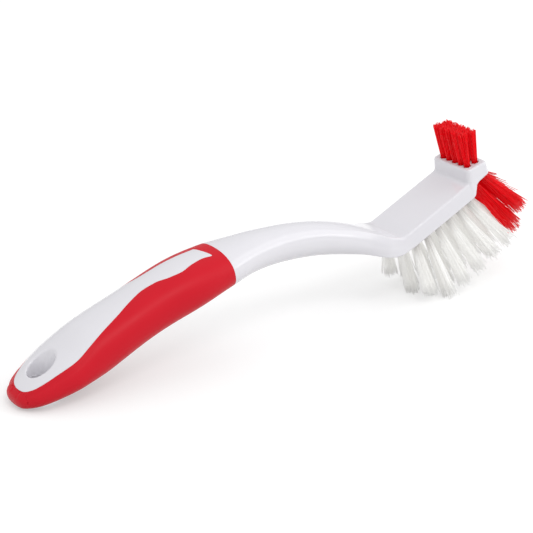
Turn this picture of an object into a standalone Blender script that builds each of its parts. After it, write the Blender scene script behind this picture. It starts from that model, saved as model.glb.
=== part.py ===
"""Dish brush: a white moulded body with a curved handle, a red soft grip and stapled tufts.

Units are metres. X runs along the handle from its butt to the head, Z is up, and the brush lies
as it does on a table: on the underside of its butt and on the tips of its white bristles.
Shapes are worked out from the butt's tip, and an empty moves them so that the origin is on the
table, under the middle of the whole brush.
"""

import math
from collections import namedtuple

import bmesh
import bpy
import numpy as np

# Room left between a piece and the one that it sits in
CLEARANCE = 0.0003

# Middle line of the handle: distance from the butt, height, slope in degrees
HANDLE_LINE = (
    (0.0, 0.0030, 12.0),
    (0.015, 0.0086, 22.5),
    (0.050, 0.0236, 22.0),
    (0.090, 0.0373, 15.5),
    (0.130, 0.04355, 0.5),
    (0.165, 0.0403, -12.0),
    (0.186, 0.0350, -14.5),
)

# Half width and half depth of the handle at distances from the butt
HANDLE_WIDTHS = (
    (0.0, 0.0044),
    (0.0006, 0.0060),
    (0.002, 0.0080),
    (0.004, 0.0104),
    (0.008, 0.0135),
    (0.015, 0.0156),
    (0.026, 0.0173),
    (0.040, 0.0167),
    (0.068, 0.0154),
    (0.090, 0.0164),
    (0.104, 0.0152),
    (0.120, 0.0117),
    (0.140, 0.0090),
    (0.160, 0.0082),
    (0.172, 0.0086),
    (0.184, 0.0103),
    (0.196, 0.0146),
)
HANDLE_DEPTHS = (
    (0.0, 0.0019),
    (0.0006, 0.0026),
    (0.002, 0.0034),
    (0.004, 0.0043),
    (0.008, 0.0057),
    (0.015, 0.0074),
    (0.026, 0.0093),
    (0.040, 0.0111),
    (0.060, 0.0107),
    (0.080, 0.0109),
    (0.104, 0.0093),
    (0.120, 0.0083),
    (0.150, 0.0080),
    (0.172, 0.0073),
    (0.190, 0.0058),
    (0.200, 0.0047),
)
HANDLE_SQUARENESS = 2.3
SHAPE_CHANGE_START = 0.165
VALLEY_START = 0.178

# Head: a flat plate that rises to its nose
HEAD_FROM_BUTT = 0.204
HEAD_HEIGHT = 0.0282
HEAD_SLOPE = 25.3
HEAD_START = 0.0033
HEAD_LENGTH = 0.048
HEAD_THICKNESS = 0.00725
HEAD_HALF_WIDTH = 0.0152
HEAD_DRAFT = 0.0021
HEAD_TOP_FILLET = 0.0010
HEAD_BOTTOM_FILLET = 0.0007
NOSE_SLOPE = 73.6
NOSE_CORNER = 0.0030
NOSE_SHEAR_LENGTH = 0.015

# Block on the head that carries the upright tufts; its front overhangs the nose
BLOCK_TILT = 15.0
BLOCK_RISE = 0.0066
BLOCK_LENGTH = 0.0122
BLOCK_WIDTH = 0.0262
BLOCK_FRONT_WALL = 0.0064
BLOCK_BACK_DRAFT = 7.2
BLOCK_FRONT_DRAFT = 6.2
BLOCK_SIDE_DRAFT = 3.0
BLOCK_CORNER = 0.0020
BLOCK_EDGE = 0.0007
OVERHANG_SLOPE = 14.0
OVERHANG_REACH = 0.0100

# Soft grip moulded over the handle
GRIP_LENGTH = 0.1052
GRIP_WALL = 0.0018

# White window in the grip: its two long edges, as distance from the butt and across the handle
WINDOW_NEAR_EDGE = (
    (0.0029, -0.0016),
    (0.0040, -0.0056),
    (0.0072, -0.0087),
    (0.0138, -0.0114),
    (0.0248, -0.0134),
    (0.0319, -0.0124),
    (0.0398, -0.0105),
    (0.0485, -0.0082),
    (0.0565, -0.0055),
    (0.0640, -0.0039),
    (0.0700, -0.0044),
    (0.0760, -0.0064),
    (0.0820, -0.0073),
    (0.0880, -0.0060),
    (0.0940, -0.0053),
    (0.0990, -0.0062),
)
WINDOW_FAR_EDGE = (
    (0.0029, 0.0016),
    (0.0040, 0.0056),
    (0.0068, 0.0083),
    (0.0120, 0.0106),
    (0.0220, 0.0127),
    (0.0300, 0.0129),
    (0.0400, 0.0121),
    (0.0485, 0.0109),
    (0.0565, 0.0094),
    (0.0640, 0.0077),
    (0.0700, 0.0066),
    (0.0760, 0.0063),
    (0.0820, 0.0062),
    (0.0880, 0.0060),
    (0.0920, 0.0058),
    (0.0964, 0.0056),
)
WINDOW_TO_GRIP_END = 0.0062
WINDOW_STEPS = 2

# Round hole through the butt to hang the brush by, with a white wall round it
HANG_HOLE_FROM_BUTT = 0.0142
HANG_HOLE_WAIST = 0.0108
HANG_HOLE_MOUTH = 0.0130
HANG_HOLE_WALL = 0.0017

# Tufts: each is a bundle of folded filaments, stapled into a blind hole
TUFT_HOLE = 0.0034
TUFT_STRANDS = 8
TUFT_COLLAR = 0.0004
STRAND_INSET = 0.00016
STRAND_FLARE = 1.2
INNER_STRAND_SPREAD = 0.5

WHITE_HOLE_DEPTH = 0.0042
WHITE_ROWS = 5
WHITE_ROW_TUFTS = 6
WHITE_FIRST = 0.0074
WHITE_LAST_TO_NOSE = 0.00265
WHITE_TO_SIDE = 0.0030
WHITE_LENGTH = 0.0345
WHITE_CORNER_LENGTH = 0.0285
WHITE_FLARE = 0.0034
WHITE_FIRST_LEAN = 17.0
WHITE_LAST_LEAN = 44.0
WHITE_SIDE_LEAN = 6.2

NOSE_TUFTS = 4
NOSE_TO_SIDE = 0.0056
NOSE_SIDE_LEAN = 4.0
NOSE_FLARE = 0.0031
NOSE_UPPER_HOLE_DEPTH = 0.0028
NOSE_UPPER_LENGTH = 0.0325
NOSE_UPPER_LEAN = 36.0
NOSE_LOWER_HOLE_DEPTH = 0.0042
NOSE_LOWER_RISE = 0.0030
NOSE_LOWER_LENGTH = 0.0350
NOSE_LOWER_LEAN = 43.0

TOP_TUFTS = 5
TOP_TO_SIDE = 0.0045
TOP_FLARE = 0.0021
TOP_HOLE_DEPTH = 0.0028
TOP_BACK_FROM_EDGE = 0.0035
TOP_BACK_LENGTH = 0.0184
TOP_BACK_LEAN = 0.0
TOP_FRONT_FROM_EDGE = 0.0083
TOP_FRONT_LENGTH = 0.0176
TOP_FRONT_LEAN = 6.0

# How far a cutter stands out of what it cuts
CUTTER_REACH = 0.003

# Least distance between two sections
MIN_STEP = 0.0005

# Angles of a ring's points from its top to its side
RING_ANGLES = (0.0, 14.0, 27.0, 42.0, 57.0, 73.0, 90.0)


def clear_scene():
    for item in list(bpy.data.objects):
        bpy.data.objects.remove(item)


def plastic(name, colour, roughness):
    """A Principled material of one colour, which is not metallic."""
    made = bpy.data.materials.new(name)
    made.use_nodes = True
    shader = made.node_tree.nodes["Principled BSDF"]
    shader.inputs["Base Color"].default_value = (*colour, 1.0)
    shader.inputs["Roughness"].default_value = roughness
    shader.inputs["Metallic"].default_value = 0.0
    made.diffuse_color = (*colour, 1.0)
    return made


def hermite(knots, slopes, x):
    """The height at x of the smooth curve through knots (x, y) with these slopes."""
    xs, ys = np.asarray(knots, float).T
    i = int(np.clip(np.searchsorted(xs, x) - 1, 0, len(xs) - 2))
    step = xs[i + 1] - xs[i]
    t = (x - xs[i]) / step
    rise = ys[i] * (1 + 2 * t) * (1 - t) ** 2 + ys[i + 1] * t * t * (3 - 2 * t)
    turn = slopes[i] * t * (1 - t) ** 2 + slopes[i + 1] * t * t * (t - 1)
    return float(rise + step * turn)


def even(knots, x):
    """The height at x of a curve through knots (x, y) that never overshoots them."""
    xs, ys = np.asarray(knots, float).T
    rise = np.diff(ys) / np.diff(xs)
    slopes = np.zeros(len(xs))
    slopes[0] = rise[0]
    for i in range(1, len(rise)):
        if rise[i - 1] * rise[i] > 0:
            slopes[i] = 2 * rise[i - 1] * rise[i] / (rise[i - 1] + rise[i])
    return hermite(knots, slopes, min(max(x, xs[0]), xs[-1]))


def smooth_step(x, start, end):
    t = min(max((x - start) / (end - start), 0.0), 1.0)
    return t * t * (3 - 2 * t)


def leaning(degrees):
    """Unit vector in the XZ plane at this angle above X."""
    angle = math.radians(degrees)
    return np.array([math.cos(angle), 0.0, math.sin(angle)])


def head_point(along, above, across=0.0):
    """A point by its place on the head: along its underside, above it, and across."""
    corner = np.array([HEAD_FROM_BUTT, across, HEAD_HEIGHT])
    return corner + along * leaning(HEAD_SLOPE) + above * leaning(HEAD_SLOPE + 90)


def block_point(along, above, across=0.0):
    """A point by its place on the block's top face, from its back edge."""
    edge = head_point(HEAD_LENGTH, HEAD_THICKNESS + BLOCK_RISE, across)
    return edge + along * leaning(BLOCK_TILT) + above * leaning(BLOCK_TILT + 90)


def head_start():
    return head_point(HEAD_START, HEAD_THICKNESS / 2)


def line_height(x):
    """Height of the handle's middle line."""
    start = head_start()
    knots = [(along, height) for along, height, _ in HANDLE_LINE] + [(start[0], start[2])]
    slopes = [slope for _, _, slope in HANDLE_LINE] + [HEAD_SLOPE]
    return hermite(knots, [math.tan(math.radians(slope)) for slope in slopes], x)


def oval_half(half_width, half_depth):
    """Points (across, up) of a rounded oval, from its top round one side to its bottom."""
    angles = np.radians(RING_ANGLES + tuple(180 - a for a in RING_ANGLES[-2::-1]))
    power = 2 / HANDLE_SQUARENESS
    across = np.abs(np.sin(angles)) ** power
    up = np.sign(np.cos(angles)) * np.abs(np.cos(angles)) ** power
    return np.stack([half_width * across, half_depth * up], axis=1)


def plate_half(half_width, half_depth):
    """The same count of points round a flat plate with filleted edges and drafted sides."""
    turn = np.radians([90, 60, 30, 0])
    top, bottom = HEAD_TOP_FILLET, HEAD_BOTTOM_FILLET
    top_width = half_width - HEAD_DRAFT
    corner = np.stack([np.cos(turn), np.sin(turn)], axis=1)
    upper = (top_width - top, half_depth - top) + top * corner
    lower = (half_width - bottom, bottom - half_depth) + bottom * corner[::-1] * (1, -1)
    side = [((top_width + half_width) / 2, (bottom - top) / 2)]
    first = [(0.0, half_depth), (top_width / 2, half_depth)]
    last = [(half_width / 2, -half_depth), (0.0, -half_depth)]
    return np.concatenate([first, upper, side, lower, last])


def ring(half, middle, up):
    """A half outline and its mirror image, stood up in space round the middle."""
    both = np.concatenate([half, half[-2:0:-1] * (-1, 1)])
    return [middle + height * up + np.array([0.0, across, 0.0]) for across, height in both]


def handle_ring(x, growth=0.0):
    """The section square to the handle's line at x, grown outwards by growth."""
    start = head_start()[0]
    half_width = even(HANDLE_WIDTHS + ((start, HEAD_HALF_WIDTH),), x) + growth
    half_depth = even(HANDLE_DEPTHS + ((start, HEAD_THICKNESS / 2),), x) + growth
    ahead, behind = min(x + MIN_STEP, start), max(x - MIN_STEP, 0.0)
    rise = math.atan2(line_height(ahead) - line_height(behind), ahead - behind)
    flatness = smooth_step(x, SHAPE_CHANGE_START, start)
    half = (1 - flatness) * oval_half(half_width, half_depth)
    if flatness > 0:
        half = half + flatness * plate_half(half_width, half_depth)
    middle = np.array([x, 0.0, line_height(x)])
    return ring(half, middle, leaning(math.degrees(rise) + 90))


def head_ring(along):
    """A section of the head, square to it at the back and turned into the nose's slope in front."""
    shear = math.tan(math.radians(HEAD_SLOPE + 90 - NOSE_SLOPE))
    shear *= max(1 - (HEAD_LENGTH - along) / NOSE_SHEAR_LENGTH, 0.0)
    into_corner = min(max(along - (HEAD_LENGTH - NOSE_CORNER), 0.0) / NOSE_CORNER, 1.0)
    cut_back = NOSE_CORNER * (1 - math.sqrt(1 - into_corner**2))
    up = leaning(HEAD_SLOPE + 90) + shear * leaning(HEAD_SLOPE)
    middle = head_point(along, 0.0) + HEAD_THICKNESS / 2 * up
    half = plate_half(HEAD_HALF_WIDTH, HEAD_THICKNESS / 2)
    half[:, 0] *= 1 - cut_back / HEAD_HALF_WIDTH
    return ring(half, middle, up)


def grip_stations():
    return [0.0, 0.0006, 0.002, 0.004, 0.007, 0.011, *np.linspace(0.016, GRIP_LENGTH, 17)]


def neck_stations():
    neck = np.linspace(GRIP_LENGTH + CLEARANCE, VALLEY_START, 12)
    valley = np.linspace(VALLEY_START, head_start()[0], 9)[1:-1]
    return [*neck, *valley]


def add_object(name, mesh, look=None):
    """An object for this mesh under the brush's empty. Without a look it's a cutter."""
    made = bpy.data.objects.new(name, mesh)
    bpy.context.scene.collection.objects.link(made)
    made.parent = bpy.data.objects["brush"]
    if look:
        mesh.materials.append(look)
        mesh.shade_smooth()
        mesh.set_sharp_from_angle(angle=math.radians(40))
    else:
        made.hide_render = True
        made.display_type = "WIRE"
    return made


def solid(name, faces_of, look=None):
    """A closed mesh object, filled by faces_of(bm), with its faces turned outwards."""
    bm = bmesh.new()
    faces_of(bm)
    bmesh.ops.recalc_face_normals(bm, faces=bm.faces[:])
    mesh = bpy.data.meshes.new(name)
    bm.to_mesh(mesh)
    bm.free()
    return add_object(name, mesh, look)


def skin(bm, rings):
    """Joins rings of equally many points into a closed tube with flat ends."""
    made = [[bm.verts.new(point) for point in points] for points in rings]
    for back, front in zip(made, made[1:]):
        for i in range(len(back)):
            j = (i + 1) % len(back)
            bm.faces.new((back[i], back[j], front[j], front[i]))
    bm.faces.new(made[0])
    bm.faces.new(made[-1])


def loft(name, rings, look=None):
    return solid(name, lambda bm: skin(bm, rings), look)


def boolean(target, tool, operation):
    modifier = target.modifiers.new(f"{operation.lower()} {tool.name}", "BOOLEAN")
    modifier.operation = operation
    modifier.object = tool
    modifier.solver = "EXACT"


def rounded_rectangle(back, front, half_width, corner):
    """Points (along, across) round a rectangle with four round corners."""
    corners = (
        (front - corner, half_width - corner, 0),
        (back + corner, half_width - corner, 90),
        (back + corner, corner - half_width, 180),
        (front - corner, corner - half_width, 270),
    )
    points = []
    for along, across, start in corners:
        for angle in np.radians(np.linspace(start, start + 90, 5)):
            points.append((along + corner * math.cos(angle), across + corner * math.sin(angle)))
    return points


def drafted(height, degrees):
    """How far a wall with this draft has moved out at a height below the block's top."""
    return -height * math.tan(math.radians(degrees))


def overhang_point(inwards):
    """A point (along, above) of the sloping underside of the block's front, from its outer edge."""
    slope = math.radians(OVERHANG_SLOPE)
    edge = BLOCK_LENGTH + drafted(-BLOCK_FRONT_WALL, BLOCK_FRONT_DRAFT)
    return edge - inwards * math.cos(slope), -BLOCK_FRONT_WALL - inwards * math.sin(slope)


def block_ring(height, front, inset=0.0):
    """A section of the block parallel to its top, drawn in by inset."""
    back = inset - drafted(height, BLOCK_BACK_DRAFT)
    half_width = BLOCK_WIDTH / 2 + drafted(height, BLOCK_SIDE_DRAFT) - inset
    corner = min(BLOCK_CORNER, (front - back) / 3) - inset
    outline = rounded_rectangle(back, front - inset, half_width, corner)
    return [block_point(along, height, across) for along, across in outline]


def block_rings():
    """Sections of the block from its root inside the head to its top face."""
    rings = []
    for inwards in (OVERHANG_REACH, 0.0):
        front, height = overhang_point(inwards)
        rings.append(block_ring(height, front))
    for angle in np.radians([0, 45, 90]):
        height = -BLOCK_EDGE * (1 - math.sin(angle))
        front = BLOCK_LENGTH + drafted(height, BLOCK_FRONT_DRAFT)
        rings.append(block_ring(height, front, BLOCK_EDGE * (1 - math.cos(angle))))
    return rings


def window_edge(points):
    """An edge that keeps its place in the grip, with more points on a Catmull-Rom curve."""
    stretch = (GRIP_LENGTH - WINDOW_TO_GRIP_END) / WINDOW_NEAR_EDGE[-1][0]
    known = np.asarray(points, float) * (stretch, 1)
    padded = np.concatenate([[2 * known[0] - known[1]], known, [2 * known[-1] - known[-2]]])
    curve = []
    for a, b, c, d in zip(padded, padded[1:], padded[2:], padded[3:]):
        for t in np.arange(WINDOW_STEPS) / WINDOW_STEPS:
            square = a - 2.5 * b + 2 * c - d / 2
            cube = 1.5 * (b - c) + (d - a) / 2
            curve.append(b + t * (c - a) / 2 + t**2 * square + t**3 * cube)
    return np.array([*curve, known[-1]])


def moved_out(edge, gap, side):
    """The edge moved sideways by gap, and its ends moved on by gap."""
    run = np.gradient(edge, axis=0)
    run /= np.linalg.norm(run, axis=1)[:, None]
    out = edge + side * gap * np.stack([-run[:, 1], run[:, 0]], axis=1)
    out[0, 0] -= gap
    out[-1, 0] += gap
    return out


def window_column(name, gap=0.0):
    """A column over the window, from the handle's middle line to above the handle."""
    near = moved_out(window_edge(WINDOW_NEAR_EDGE), gap, -1)
    far = moved_out(window_edge(WINDOW_FAR_EDGE), gap, 1)
    top = max(line_height(x) + even(HANDLE_DEPTHS, x) for x in grip_stations()) + CUTTER_REACH
    rings = []
    for start, end in zip(near, far):
        low = [(*start, line_height(start[0])), (*end, line_height(end[0]))]
        rings.append([*low, (*end, top), (*start, top)])
    return loft(name, rings)


def upright_tube(name, levels, sides=24):
    """A closed round tube on the hang hole's axis, through levels (height, radius)."""
    turns = np.linspace(0, 2 * math.pi, sides, endpoint=False)
    circle = np.stack([np.cos(turns), np.sin(turns)], axis=1)
    rings = []
    for height, radius in levels:
        rings.append([(HANG_HOLE_FROM_BUTT + x, y, height) for x, y in radius * circle])
    return loft(name, rings)


def hang_hole():
    """The hang hole: narrowest halfway down, widening to its mouths at both faces and past them."""
    waist, mouth = HANG_HOLE_WAIST / 2, HANG_HOLE_MOUTH / 2
    middle = line_height(HANG_HOLE_FROM_BUTT)
    half_depth = even(HANDLE_DEPTHS, HANG_HOLE_FROM_BUTT)
    reach = half_depth + mouth
    end = waist + (mouth - waist) * reach / half_depth
    return upright_tube("hang_hole", ((middle - reach, end), (middle, waist), (middle + reach, end)))


def hole_sleeve(name, gap=0.0):
    """The white wall round the hang hole, as a column through the grip."""
    radius = HANG_HOLE_MOUTH / 2 + HANG_HOLE_WALL + gap
    middle = line_height(HANG_HOLE_FROM_BUTT)
    reach = even(HANDLE_DEPTHS, HANG_HOLE_FROM_BUTT) + radius
    return upright_tube(name, ((middle - reach, radius), (middle + reach, radius)))


def handle_core(name, wall):
    """The handle under the grip: its shape shrunk by wall, running on past the grip's end."""
    along = [x for x in grip_stations()[:-1] if x > wall + MIN_STEP]
    return loft(name, [handle_ring(x, -wall) for x in (wall, *along, GRIP_LENGTH + CUTTER_REACH)])


def box_round_handle(x):
    """The four corners of a box that stands clear of the handle's section at x."""
    outline = np.array(handle_ring(x, CUTTER_REACH))
    top, bottom = outline[0], outline[len(outline) // 2]
    side = (0.0, outline[:, 1].max(), 0.0)
    return [top + side, bottom + side, bottom - side, top - side]


def grip_pocket():
    """What the grip takes out of the white moulding: all outside the handle's core, up to its end."""
    front = [corner - (CUTTER_REACH, 0.0, 0.0) for corner in box_round_handle(0.0)]
    pocket = loft("grip_pocket", [front, *(box_round_handle(x) for x in grip_stations())])
    boolean(pocket, handle_core("handle_core", GRIP_WALL), "DIFFERENCE")
    boolean(pocket, window_column("window"), "DIFFERENCE")
    boolean(pocket, hole_sleeve("hole_sleeve"), "DIFFERENCE")
    return pocket


def grip(look):
    """The red soft moulding: a sleeve round the handle with a window and a hole in it."""
    stations = [*grip_stations()[:-1], GRIP_LENGTH - CLEARANCE]
    made = loft("grip", [handle_ring(x) for x in stations], look)
    boolean(made, handle_core("handle_core_clear", GRIP_WALL - CLEARANCE), "DIFFERENCE")
    boolean(made, window_column("window_clear", CLEARANCE), "DIFFERENCE")
    boolean(made, hole_sleeve("hole_sleeve_clear", CLEARANCE), "DIFFERENCE")


# A tuft's place and aim, its length out of the plastic, how far it spreads and its hole's depth
Tuft = namedtuple("Tuft", "name root direction length flare depth")


def unit(vector):
    return vector / np.linalg.norm(vector)


def spread_evenly(count, half_width):
    """Places across the brush, from its near side to its far side, and each one's share of the way out."""
    shares = np.linspace(-1.0, 1.0, count)
    return zip(half_width * shares, shares)


def white_tufts():
    """Rows along the head's underside, every second row set half a pitch forward."""
    rows = spread_evenly(WHITE_ROWS, HEAD_HALF_WIDTH - WHITE_TO_SIDE)
    for row, (across, side) in enumerate(rows):
        for i in range(WHITE_ROW_TUFTS):
            share = (i + 0.5 * (row % 2)) / (WHITE_ROW_TUFTS - 0.5)
            along = WHITE_FIRST + (HEAD_LENGTH - WHITE_LAST_TO_NOSE - WHITE_FIRST) * share
            lean = WHITE_FIRST_LEAN + (WHITE_LAST_LEAN - WHITE_FIRST_LEAN) * share
            sideways = side * math.sin(math.radians(WHITE_SIDE_LEAN))
            at_corner = i == 0 and abs(side) == 1
            yield Tuft(
                name=f"white_tuft_row{row + 1}_{i + 1}",
                root=head_point(along, 0.0, across),
                direction=unit(leaning(lean - 90) + (0.0, sideways, 0.0)),
                length=WHITE_CORNER_LENGTH if at_corner else WHITE_LENGTH,
                flare=WHITE_FLARE,
                depth=WHITE_HOLE_DEPTH,
            )


def meeting_of_nose_and_overhang():
    """How far along the overhang's underside, from its outer edge, the nose face meets it."""
    outer = block_point(*overhang_point(0.0))
    inward = unit(block_point(*overhang_point(1.0)) - outer)
    nose = leaning(NOSE_SLOPE)
    gap = head_point(HEAD_LENGTH, 0.0) - outer
    return float((gap[0] * nose[2] - gap[2] * nose[0]) / (inward[0] * nose[2] - inward[2] * nose[0]))


def nose_tufts():
    """An upper row in the block's overhang and a lower one in the nose face."""
    upper_root = block_point(*overhang_point(meeting_of_nose_and_overhang() / 2))
    lower_root = head_point(HEAD_LENGTH, 0.0) + NOSE_LOWER_RISE * leaning(NOSE_SLOPE)
    rows = (
        ("upper", upper_root, NOSE_UPPER_LEAN, NOSE_UPPER_LENGTH, NOSE_UPPER_HOLE_DEPTH),
        ("lower", lower_root, NOSE_LOWER_LEAN, NOSE_LOWER_LENGTH, NOSE_LOWER_HOLE_DEPTH),
    )
    for row, root, lean, length, depth in rows:
        for i, (across, side) in enumerate(spread_evenly(NOSE_TUFTS, HEAD_HALF_WIDTH - NOSE_TO_SIDE)):
            sideways = side * math.sin(math.radians(NOSE_SIDE_LEAN))
            yield Tuft(
                name=f"nose_tuft_{row}_{i + 1}",
                root=root + (0.0, across, 0.0),
                direction=unit(leaning(-lean) + (0.0, sideways, 0.0)),
                length=length,
                flare=NOSE_FLARE,
                depth=depth,
            )


def top_tufts():
    """Two upright rows across the block's top."""
    rows = (
        ("back", TOP_BACK_FROM_EDGE, TOP_BACK_LENGTH, TOP_BACK_LEAN),
        ("front", TOP_FRONT_FROM_EDGE, TOP_FRONT_LENGTH, TOP_FRONT_LEAN),
    )
    for row, along, length, lean in rows:
        for i, (across, _) in enumerate(spread_evenly(TOP_TUFTS, BLOCK_WIDTH / 2 - TOP_TO_SIDE)):
            yield Tuft(
                name=f"top_tuft_{row}_{i + 1}",
                root=block_point(along, 0.0, across),
                direction=leaning(BLOCK_TILT + 90 - lean),
                length=length,
                flare=TOP_FLARE,
                depth=TOP_HOLE_DEPTH,
            )


def round_of(tuft, radius, distance):
    """Points round a tuft's axis at a distance out from its root."""
    first = unit(np.cross(tuft.direction, (0.0, 1.0, 0.0)))
    second = np.cross(tuft.direction, first)
    turns = 2 * math.pi * (np.arange(TUFT_STRANDS) + 0.5) / TUFT_STRANDS
    middle = tuft.root + distance * tuft.direction
    return [middle + radius * (math.cos(t) * first + math.sin(t) * second) for t in turns]


def cut_at_table(start, end):
    """The end of a bristle's edge, cut off where it would pass through the table."""
    if end[2] >= 0:
        return end
    return start + (end - start) * start[2] / (start[2] - end[2])


def tuft_faces(bm, tuft):
    """A round root in its hole, and one three-sided strand out of each sector of its top."""
    radius = TUFT_HOLE / 2 - CLEARANCE
    low = [bm.verts.new(p) for p in round_of(tuft, radius, CLEARANCE - tuft.depth)]
    high = [bm.verts.new(p) for p in round_of(tuft, radius, TUFT_COLLAR)]
    middle = bm.verts.new(tuft.root + TUFT_COLLAR * tuft.direction)
    bm.faces.new(low)
    sectors = []
    for i in range(TUFT_STRANDS):
        j = (i + 1) % TUFT_STRANDS
        bm.faces.new((low[i], low[j], high[j], high[i]))
        sectors.append(bm.faces.new((high[i], high[j], middle)))
    bmesh.ops.recalc_face_normals(bm, faces=bm.faces[:])
    bmesh.ops.inset_individual(bm, faces=sectors, thickness=STRAND_INSET, use_even_offset=True)
    strands = bmesh.ops.extrude_discrete_faces(bm, faces=sectors)["faces"]
    rim = round_of(tuft, 1.0, 0.0)
    for i, strand in enumerate(strands):
        outward = unit(rim[i] + rim[(i + 1) % TUFT_STRANDS] - 2 * tuft.root)
        spread = tuft.flare * (INNER_STRAND_SPREAD if i % 2 else 1.0)
        tip = tuft.root + tuft.length * tuft.direction + spread * outward
        starts = [np.array(vert.co) for vert in strand.verts]
        centre = np.mean(starts, axis=0)
        for vert, start in zip(strand.verts, starts):
            vert.co = cut_at_table(start, tip + STRAND_FLARE * (start - centre))


def add_tufts(tufts, look):
    for tuft in tufts:
        solid(tuft.name, lambda bm, tuft=tuft: tuft_faces(bm, tuft), look)


def tuft_holes(tufts):
    """One cutter for all the blind holes."""

    def faces_of(bm):
        for tuft in tufts:
            radius = TUFT_HOLE / 2
            skin(bm, [round_of(tuft, radius, -tuft.depth), round_of(tuft, radius, CUTTER_REACH)])

    return solid("tuft_holes", faces_of)


def body(tufts, look):
    """The white moulding: handle, neck and head in one, with its block, holes and grip seat."""
    handle = [handle_ring(x) for x in [*grip_stations()[:-1], *neck_stations()]]
    corner_start = HEAD_LENGTH - NOSE_CORNER
    corner = [corner_start + NOSE_CORNER * math.sin(math.radians(a)) for a in (0, 22, 45, 68, 90)]
    shear_start = HEAD_LENGTH - NOSE_SHEAR_LENGTH
    head = [head_ring(along) for along in (HEAD_START, shear_start, *corner)]
    made = loft("body", [*handle, *head], look)
    boolean(made, loft("block", block_rings()), "UNION")
    boolean(made, grip_pocket(), "DIFFERENCE")
    boolean(made, hang_hole(), "DIFFERENCE")
    boolean(made, tuft_holes(tufts), "DIFFERENCE")


def middle_of_pieces():
    """Halfway between the least and the greatest X of the pieces."""
    pieces = [item for item in bpy.data.objects if item.type == "MESH" and not item.hide_render]
    reach = [vert.co.x for piece in pieces for vert in piece.data.vertices]
    return (min(reach) + max(reach)) / 2


def main():
    clear_scene()
    brush = bpy.data.objects.new("brush", None)
    bpy.context.scene.collection.objects.link(brush)
    white = plastic("white plastic", (0.82, 0.81, 0.84), 0.22)
    red = plastic("red soft grip", (0.56, 0.024, 0.034), 0.5)
    white_bristle = plastic("white bristle", (0.76, 0.75, 0.73), 0.4)
    red_bristle = plastic("red bristle", (0.68, 0.004, 0.008), 0.3)
    head_tufts, red_tufts = list(white_tufts()), [*nose_tufts(), *top_tufts()]
    body([*head_tufts, *red_tufts], white)
    grip(red)
    add_tufts(head_tufts, white_bristle)
    add_tufts(red_tufts, red_bristle)
    brush.location.x = -middle_of_pieces()


main()
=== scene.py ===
import math
from collections import namedtuple

import bpy
import numpy as np
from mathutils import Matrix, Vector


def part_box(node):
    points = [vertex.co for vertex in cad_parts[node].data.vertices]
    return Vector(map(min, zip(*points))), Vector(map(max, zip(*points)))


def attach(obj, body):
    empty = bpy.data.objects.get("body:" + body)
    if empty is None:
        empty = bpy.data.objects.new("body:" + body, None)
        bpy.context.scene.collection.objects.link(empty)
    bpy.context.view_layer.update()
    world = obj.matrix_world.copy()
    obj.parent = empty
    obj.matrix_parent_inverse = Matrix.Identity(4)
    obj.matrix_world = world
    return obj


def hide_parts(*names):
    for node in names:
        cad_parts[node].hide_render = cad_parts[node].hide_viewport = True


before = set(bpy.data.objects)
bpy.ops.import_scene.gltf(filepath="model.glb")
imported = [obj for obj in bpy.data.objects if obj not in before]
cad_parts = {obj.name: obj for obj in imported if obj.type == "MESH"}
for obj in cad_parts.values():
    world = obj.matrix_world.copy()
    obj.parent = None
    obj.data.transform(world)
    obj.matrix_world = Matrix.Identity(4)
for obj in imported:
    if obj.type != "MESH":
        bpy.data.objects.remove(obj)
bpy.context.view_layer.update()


# The camera, at the photograph's place: a long lens, turned 35 degrees from square to the brush
# and looking down by 22 degrees. The frame is square.
PHOTO_SIDE = 533
FOCAL_LENGTH_IN_PIXELS = 1786.07
SENSOR = 36.0
CAMERA_PLACE = (-0.44460, -0.61691, 0.34275)
CAMERA_ELEVATION = 22.24
CAMERA_AZIMUTH = 35.33

camera = bpy.data.objects.new("camera", bpy.data.cameras.new("camera"))
camera.data.lens = FOCAL_LENGTH_IN_PIXELS / PHOTO_SIDE * SENSOR
camera.data.sensor_width = SENSOR
camera.data.clip_end = 20.0
camera.location = CAMERA_PLACE
camera.rotation_euler = (
    math.radians(90 - CAMERA_ELEVATION),
    0.0,
    math.radians(-CAMERA_AZIMUTH),
)
bpy.context.scene.collection.objects.link(camera)
bpy.context.scene.camera = camera
bpy.context.scene.view_settings.view_transform = "Standard"


# The white body: handle, neck and head moulded in one piece of glossy plastic. The head is a flat
# plate with drafted sides, and a block on its nose carries the upright tufts. A round hole goes
# through the butt. Under the grip the handle is a thinner core, with an inlay left proud of it.
BUTT_DEPTH = 0.0019
BUTT_CUT = 0.0004
BUTT_ROUND = 0.0019
HANDLE_LINE = (
    (0.0, 0.0029, 15.0),
    (0.015, 0.0087, 22.3),
    (0.050, 0.0236, 22.0),
    (0.090, 0.0373, 15.5),
    (0.130, 0.04355, 0.5),
    (0.165, 0.0403, -12.0),
    (0.186, 0.0350, -14.5),
)
HANDLE_WIDTHS = (
    (0.0, 0.0044),
    (0.0006, 0.0058),
    (0.002, 0.0077),
    (0.004, 0.0099),
    (0.008, 0.0129),
    (0.015, 0.0153),
    (0.026, 0.0173),
    (0.040, 0.0167),
    (0.068, 0.0154),
    (0.090, 0.0164),
    (0.104, 0.0152),
    (0.120, 0.0117),
    (0.140, 0.0090),
    (0.160, 0.0082),
    (0.172, 0.0086),
    (0.184, 0.0103),
    (0.196, 0.0146),
)
HANDLE_DEPTHS = (
    (0.0, BUTT_DEPTH),
    (0.0006, 0.0027),
    (0.002, 0.0035),
    (0.004, 0.0043),
    (0.008, 0.0055),
    (0.015, 0.0073),
    (0.026, 0.0093),
    (0.040, 0.0111),
    (0.060, 0.0107),
    (0.080, 0.0109),
    (0.104, 0.0093),
    (0.120, 0.0083),
    (0.150, 0.0080),
    (0.172, 0.0073),
    (0.190, 0.0058),
    (0.200, 0.0047),
)
HANDLE_SQUARENESS = 2.3
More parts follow.
